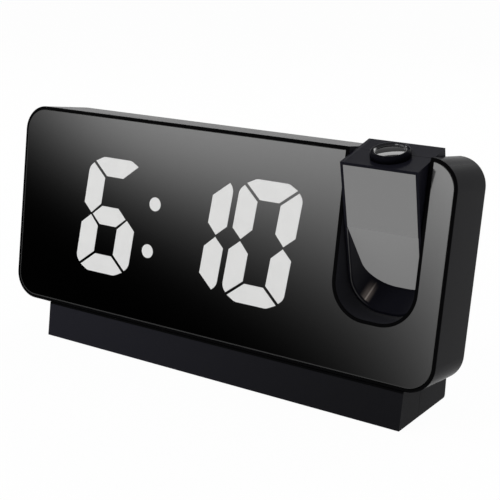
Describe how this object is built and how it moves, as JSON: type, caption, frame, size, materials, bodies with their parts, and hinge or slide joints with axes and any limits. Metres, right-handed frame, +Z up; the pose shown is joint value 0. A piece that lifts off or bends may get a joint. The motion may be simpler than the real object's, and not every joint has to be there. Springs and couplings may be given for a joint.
{
  "type": "projection alarm clock",
  "caption": "Mirror-faced digital alarm clock on a low foot, with a projector arm that tilts in a slot at its right, rear buttons and power sockets.",
  "frame": {"origin": "centre of the resting footprint, on the table plane", "axes": "+X to the viewer's right along the width, +Y from the display to the back, +Z up"},
  "size_m": [0.186, 0.0384, 0.0939],
  "materials": {
    "housing": "fine satin moulding",
    "arm_case": "fine satin moulding",
    "button": "satin moulding",
    "front_mirror": "dark half-silvered sheet",
    "arm_mirror": "grey half-silvered sheet",
    "light_guide": "milky light guide",
    "white_frame": "white moulding",
    "circuit_board": "solder mask",
    "lamp": "clear yellowish resin",
    "dark_plastic": "plain moulding",
    "screw": "blackened steel",
    "steel": "plated steel",
    "grip_rubber": "soft rubber",
    "collar": "glossy moulding",
    "lens_glass": "clear"
  },
  "bodies": {
    "base": {"front_housing": "housing", "rear_cover": "housing", "foot_front": "housing", "foot_rear": "housing", "foot_sole": "housing", "mirror_panel": "front_mirror", "digit_hours": "light_guide", "digit_minute_tens": "light_guide", "digit_minute_ones": "light_guide", "colon_dots": "light_guide", "light_frame": "white_frame", "display_board": "circuit_board", "main_board": "circuit_board", "display_lamps": "lamp", "key_switches": "dark_plastic", "control_chip": "dark_plastic", "buzzer": "dark_plastic", "cell_holder": "dark_plastic", "output_socket_tongue": "dark_plastic", "input_socket_tongue": "dark_plastic", "friction_washer_left": "dark_plastic", "friction_washer_right": "dark_plastic", "display_board_screws": "screw", "cover_screws": "screw", "main_board_screws": "screw", "foot_sole_screws": "screw", "stand_screws": "screw", "coin_cell": "steel", "output_socket_shell": "steel", "input_socket_shell": "steel", "grip_pads": "grip_rubber"},
    "arm": {"arm_front_shell": "arm_case", "arm_rear_shell": "arm_case", "arm_mirror": "arm_mirror", "arm_screws": "screw", "lens_tube": "dark_plastic", "image_film": "lens_glass", "lamp_board": "circuit_board", "projector_lamp": "lamp", "pivot_pin": "steel", "pivot_sleeve": "steel", "pivot_clip_left": "steel", "pivot_clip_right": "steel"},
    "focus": {"focus_ring": "collar", "projection_lens": "lens_glass", "lens_keeper": "dark_plastic"},
    "cell_door": {"cell_door": "housing"},
    "set_button": {"set_button": "button"},
    "up_button": {"up_button": "button"},
    "down_button": {"down_button": "button"},
    "alarm_button": {"alarm_button": "button"},
    "light_button": {"light_button": "button"}
  },
  "joints": [
    {"name": "arm_tilt", "type": "hinge", "parent": "base", "child": "arm", "pos_m": [0.068, -0.00105, 0.06956], "axis": [1, 0, 0], "range_deg": [-111, 69]},
    {"name": "focus_turn", "type": "hinge", "parent": "arm", "child": "focus", "pos_m": [0.068, -0.00799, 0.0884], "axis": [0, -0.26, 0.9656], "range_deg": [-150, 150]},
    {"name": "cell_door_lift", "type": "slide", "parent": "base", "child": "cell_door", "axis": [0, 0.9945, -0.1045], "range_m": [0, 0.012]},
    {"name": "set_button_press", "type": "slide", "parent": "base", "child": "set_button", "axis": [0, -0.9945, 0.1045], "range_m": [0, 0.0006], "stiffness_N_per_m": 500, "springref_m": -0.0005},
    {"name": "up_button_press", "type": "slide", "parent": "base", "child": "up_button", "axis": [0, -0.9945, 0.1045], "range_m": [0, 0.0006], "stiffness_N_per_m": 500, "springref_m": -0.0005},
    {"name": "down_button_press", "type": "slide", "parent": "base", "child": "down_button", "axis": [0, -0.9945, 0.1045], "range_m": [0, 0.0006], "stiffness_N_per_m": 500, "springref_m": -0.0005},
    {"name": "alarm_button_press", "type": "slide", "parent": "base", "child": "alarm_button", "axis": [0, -0.9945, 0.1045], "range_m": [0, 0.0006], "stiffness_N_per_m": 500, "springref_m": -0.0005},
    {"name": "light_button_press", "type": "slide", "parent": "base", "child": "light_button", "axis": [0, -0.9945, 0.1045], "range_m": [0, 0.0006], "stiffness_N_per_m": 500, "springref_m": -0.0005}
  ]
}
